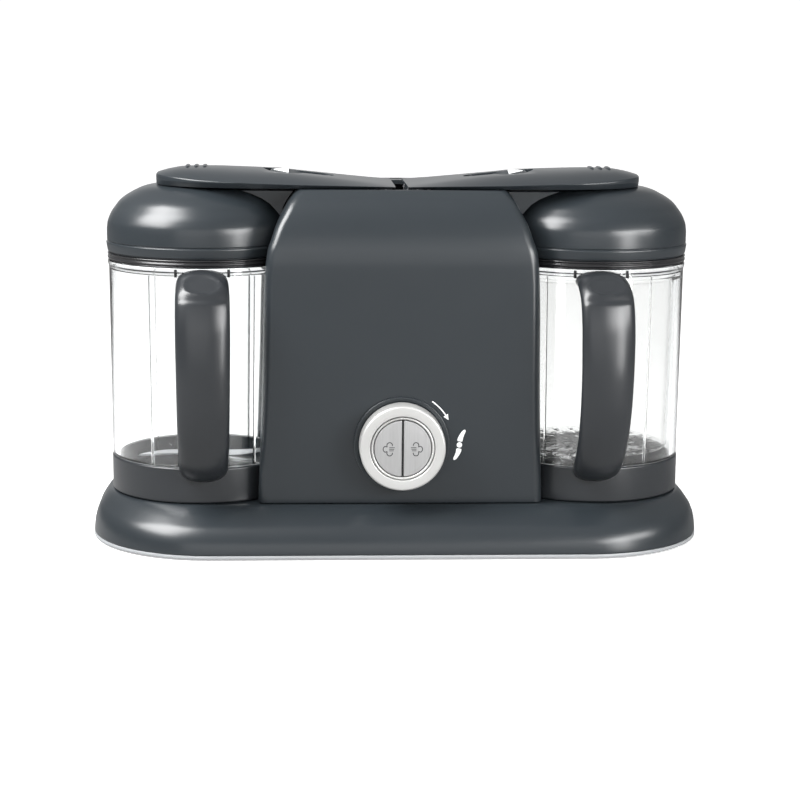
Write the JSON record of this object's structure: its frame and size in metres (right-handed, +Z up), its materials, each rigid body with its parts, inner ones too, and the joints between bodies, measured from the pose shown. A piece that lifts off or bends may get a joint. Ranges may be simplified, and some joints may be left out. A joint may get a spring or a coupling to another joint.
{
  "type": "baby food maker",
  "caption": "Countertop steamer and blender with clear handled jugs either side of a tower, domed lids, hinged top arms and a round speed dial.",
  "frame": {"origin": "centre of the bounding box's bottom face, on the surface that the feet stand on", "axes": "+X to the right along the machine, +Y to its back, +Z up; the dial and the handles face -Y"},
  "size_m": [0.4, 0.211, 0.2425],
  "materials": {
    "charcoal": "satin moulded plastic, blue-grey charcoal",
    "grey_plastic": "satin moulded plastic, slightly smoother",
    "inner_plastic": "plain moulded plastic",
    "clear_plastic": "clear, glossy",
    "smoke_plastic": "clear, faintly grey",
    "bright_chrome": "polished",
    "satin_metal": "satin, brushed",
    "steel": "brushed",
    "seal": "smooth black silicone",
    "rubber": "matt black",
    "board": "circuit board"
  },
  "bodies": {
    "housing": {"base_shell": "charcoal", "base_pan": "inner_plastic", "front_panel": "charcoal", "rear_cover": "charcoal", "top_deck": "charcoal", "hinge_block": "inner_plastic", "motor_can": "steel", "motor_bracket": "inner_plastic", "dial_bezel": "charcoal", "button_cup": "satin_metal", "control_board": "board", "cord_gland": "rubber", "rubber_foot_front_left": "rubber", "rubber_foot_front_right": "rubber", "rubber_foot_back_left": "rubber", "rubber_foot_back_right": "rubber", "boiler_left": "steel", "boiler_heater_left": "satin_metal", "hinge_pin_left": "steel", "drive_bush_left": "steel", "drive_belt_left": "rubber", "boiler_right": "steel", "boiler_heater_right": "satin_metal", "hinge_pin_right": "steel", "drive_bush_right": "steel", "drive_belt_right": "rubber"},
    "motor_rotor": {"motor_shaft": "steel", "motor_pulley": "inner_plastic"},
    "dial": {"dial_ring": "bright_chrome"},
    "steam_button_left": {"steam_button_left": "satin_metal"},
    "arm_left": {"arm_left": "charcoal", "arm_duct_left": "charcoal", "boiler_seal_left": "seal"},
    "latch_left": {"latch_left": "charcoal"},
    "jug_left": {"jug_vessel_left": "clear_plastic", "jug_collar_left": "grey_plastic", "jug_handle_left": "grey_plastic"},
    "lid_left": {"lid_left": "charcoal", "lid_seal_left": "seal"},
    "blade_left": {"blade_left": "steel", "blade_hub_left": "grey_plastic", "drive_socket_left": "inner_plastic"},
    "coupler_left": {"coupler_pulley_left": "inner_plastic", "drive_coupler_left": "inner_plastic"},
    "steam_button_right": {"steam_button_right": "satin_metal"},
    "arm_right": {"arm_right": "charcoal", "arm_duct_right": "charcoal", "boiler_seal_right": "seal"},
    "latch_right": {"latch_right": "charcoal"},
    "jug_right": {"jug_vessel_right": "clear_plastic", "jug_collar_right": "grey_plastic", "jug_handle_right": "grey_plastic", "steam_basket_right": "smoke_plastic"},
    "lid_right": {"lid_right": "charcoal", "lid_seal_right": "seal"},
    "blade_right": {"blade_right": "steel", "blade_hub_right": "grey_plastic", "drive_socket_right": "inner_plastic"},
    "coupler_right": {"coupler_pulley_right": "inner_plastic", "drive_coupler_right": "inner_plastic"}
  },
  "joints": [
    {"name": "motor_spin", "type": "hinge", "parent": "housing", "child": "motor_rotor", "pos_m": [0, 0.025, 0.03], "axis": [0, 0, 1], "continuous": true},
    {"name": "dial_turn", "type": "hinge", "parent": "housing", "child": "dial", "pos_m": [0, -0.08, 0.07], "axis": [0, 1, 0], "range_deg": [0, 40], "stiffness_Nm_per_rad": 0.06},
    {"name": "button_left_press", "type": "slide", "parent": "housing", "child": "steam_button_left", "axis": [0, 1, 0], "range_m": [0, 0.0022], "stiffness_N_per_m": 400},
    {"name": "arm_left_hinge", "type": "hinge", "parent": "housing", "child": "arm_left", "pos_m": [-0.01, 0, 0.225], "axis": [0, 1, 0], "range_deg": [0, 80]},
    {"name": "latch_left_slide", "type": "slide", "parent": "arm_left", "child": "latch_left", "axis": [-1, 0, 0], "range_m": [0, 0.004], "stiffness_N_per_m": 300},
    {"name": "jug_left_lift", "type": "slide", "parent": "housing", "child": "jug_left", "axis": [0, 0, 1], "range_m": [0, 0.03]},
    {"name": "lid_left_lift", "type": "slide", "parent": "jug_left", "child": "lid_left", "axis": [0, 0, 1], "range_m": [0, 0.015]},
    {"name": "blade_left_spin", "type": "hinge", "parent": "jug_left", "child": "blade_left", "pos_m": [-0.128, -0.0065, 0.05], "axis": [0, 0, 1], "continuous": true},
    {"name": "coupler_left_spin", "type": "hinge", "parent": "housing", "child": "coupler_left", "pos_m": [-0.128, -0.0065, 0.02], "axis": [0, 0, 1], "continuous": true},
    {"name": "button_right_press", "type": "slide", "parent": "housing", "child": "steam_button_right", "axis": [0, 1, 0], "range_m": [0, 0.0022], "stiffness_N_per_m": 400},
    {"name": "arm_right_hinge", "type": "hinge", "parent": "housing", "child": "arm_right", "pos_m": [0.01, 0, 0.225], "axis": [0, -1, 0], "range_deg": [0, 80]},
    {"name": "latch_right_slide", "type": "slide", "parent": "arm_right", "child": "latch_right", "axis": [1, 0, 0], "range_m": [0, 0.004], "stiffness_N_per_m": 300},
    {"name": "jug_right_lift", "type": "slide", "parent": "housing", "child": "jug_right", "axis": [0, 0, 1], "range_m": [0, 0.03]},
    {"name": "lid_right_lift", "type": "slide", "parent": "jug_right", "child": "lid_right", "axis": [0, 0, 1], "range_m": [0, 0.015]},
    {"name": "blade_right_spin", "type": "hinge", "parent": "jug_right", "child": "blade_right", "pos_m": [0.128, -0.0065, 0.05], "axis": [0, 0, 1], "continuous": true},
    {"name": "coupler_right_spin", "type": "hinge", "parent": "housing", "child": "coupler_right", "pos_m": [0.128, -0.0065, 0.02], "axis": [0, 0, 1], "continuous": true}
  ],
  "couplings": [
    {"joint": "jug_left_lift", "follows": "arm_left_hinge", "m_per_rad": 0.02148},
    {"joint": "lid_left_lift", "follows": "arm_left_hinge", "m_per_rad": 0.01074},
    {"joint": "coupler_left_spin", "follows": "motor_spin", "ratio": 0.45454},
    {"joint": "blade_left_spin", "follows": "motor_spin", "ratio": 0.45454},
    {"joint": "jug_right_lift", "follows": "arm_right_hinge", "m_per_rad": 0.02148},
    {"joint": "lid_right_lift", "follows": "arm_right_hinge", "m_per_rad": 0.01074},
    {"joint": "coupler_right_spin", "follows": "motor_spin", "ratio": 0.45454},
    {"joint": "blade_right_spin", "follows": "motor_spin", "ratio": 0.45454}
  ]
}
